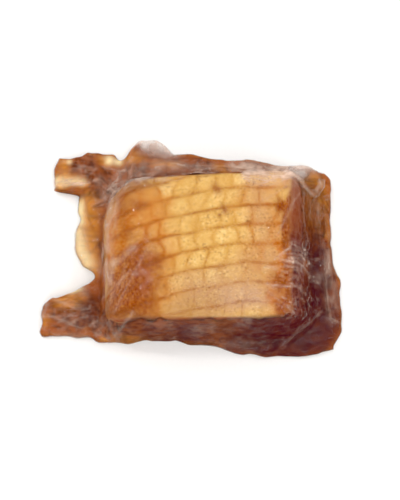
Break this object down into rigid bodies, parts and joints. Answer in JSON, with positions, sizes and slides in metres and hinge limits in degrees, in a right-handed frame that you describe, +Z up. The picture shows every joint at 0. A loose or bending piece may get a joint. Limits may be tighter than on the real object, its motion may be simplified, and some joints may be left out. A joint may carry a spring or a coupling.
{
  "type": "vacuum-packed chashu pork",
  "caption": "Block of braised rolled pork belly, rind up with net marks, vacuum-packed with its brown sauce in a clear shrunk film pouch with sauce-filled ears.",
  "frame": {"origin": "middle of the bounding box in plan, on the flat underside", "axes": "+X to the right in the picture, along the longest side; +Y away from the viewer; +Z up out of the rind"},
  "size_m": [0.1932, 0.1394, 0.059],
  "materials": {
    "film": "clear wrinkled vacuum film over the pork and brown sauce",
    "pork": "braised golden rind on top, dark lean meat at the sides",
    "sauce": "set brown soy sauce, amber where it is thin"
  },
  "bodies": {
    "root": {"sealed_pouch": "film"}
  },
  "joints": []
}
